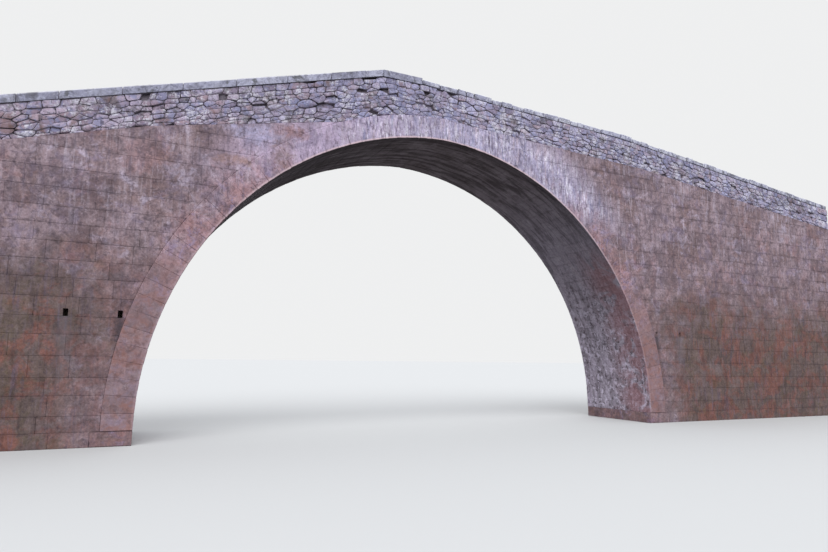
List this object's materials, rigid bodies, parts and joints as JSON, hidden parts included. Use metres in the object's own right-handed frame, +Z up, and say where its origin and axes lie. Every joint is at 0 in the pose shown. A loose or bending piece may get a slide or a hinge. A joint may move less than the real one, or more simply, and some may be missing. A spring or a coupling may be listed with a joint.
{
  "type": "stone arch bridge",
  "caption": "Narrow hump-backed stone bridge with one round arch, ashlar walls, rubble parapets with coping, and a cobbled road between them.",
  "frame": {"origin": "under the middle of the arch, halfway across the bridge, on the level of the walls' foot", "axes": "+X along the road towards the gently sloping side, -Y towards the face seen in the picture, +Z up"},
  "size_m": [32.4, 2.78, 9.0781],
  "materials": {
    "wall_ashlar": "weathered reddish sandstone blocks in courses",
    "spandrel_ashlar": "weathered pinkish sandstone blocks in courses",
    "ring_stone": "dressed pale lilac-pink arch stones, streaked by rain",
    "vault_stone": "dark damp brown-grey arch stones",
    "parapet_rubble": "rough grey-purple rubble with lichen",
    "coping_stone": "pale blue-grey weathered coping stones",
    "road_stone": "worn rounded paving stones in earth joints",
    "rubble_fill": "rubble and lime mortar"
  },
  "bodies": {
    "root": {"left_abutment": "wall_ashlar", "right_abutment": "wall_ashlar", "front_ring_left": "ring_stone", "front_ring_right": "ring_stone", "back_ring_left": "ring_stone", "back_ring_right": "ring_stone", "vault_left": "vault_stone", "vault_right": "vault_stone", "front_spandrel_left": "spandrel_ashlar", "front_spandrel_right": "spandrel_ashlar", "back_spandrel_left": "spandrel_ashlar", "back_spandrel_right": "spandrel_ashlar", "front_wing_left": "wall_ashlar", "front_wing_right": "wall_ashlar", "back_wing_left": "wall_ashlar", "back_wing_right": "wall_ashlar", "left_haunch_fill": "rubble_fill", "right_haunch_fill": "rubble_fill", "left_approach_fill": "rubble_fill", "right_approach_fill": "rubble_fill", "left_end_wall": "wall_ashlar", "right_end_wall": "wall_ashlar", "left_paving": "road_stone", "crown_paving": "road_stone", "right_paving": "road_stone", "front_parapet_left": "parapet_rubble", "front_parapet_right": "parapet_rubble", "back_parapet_left": "parapet_rubble", "back_parapet_right": "parapet_rubble", "front_coping_left": "coping_stone", "front_coping_right": "coping_stone", "back_coping_left": "coping_stone", "back_coping_right": "coping_stone"}
  },
  "joints": []
}
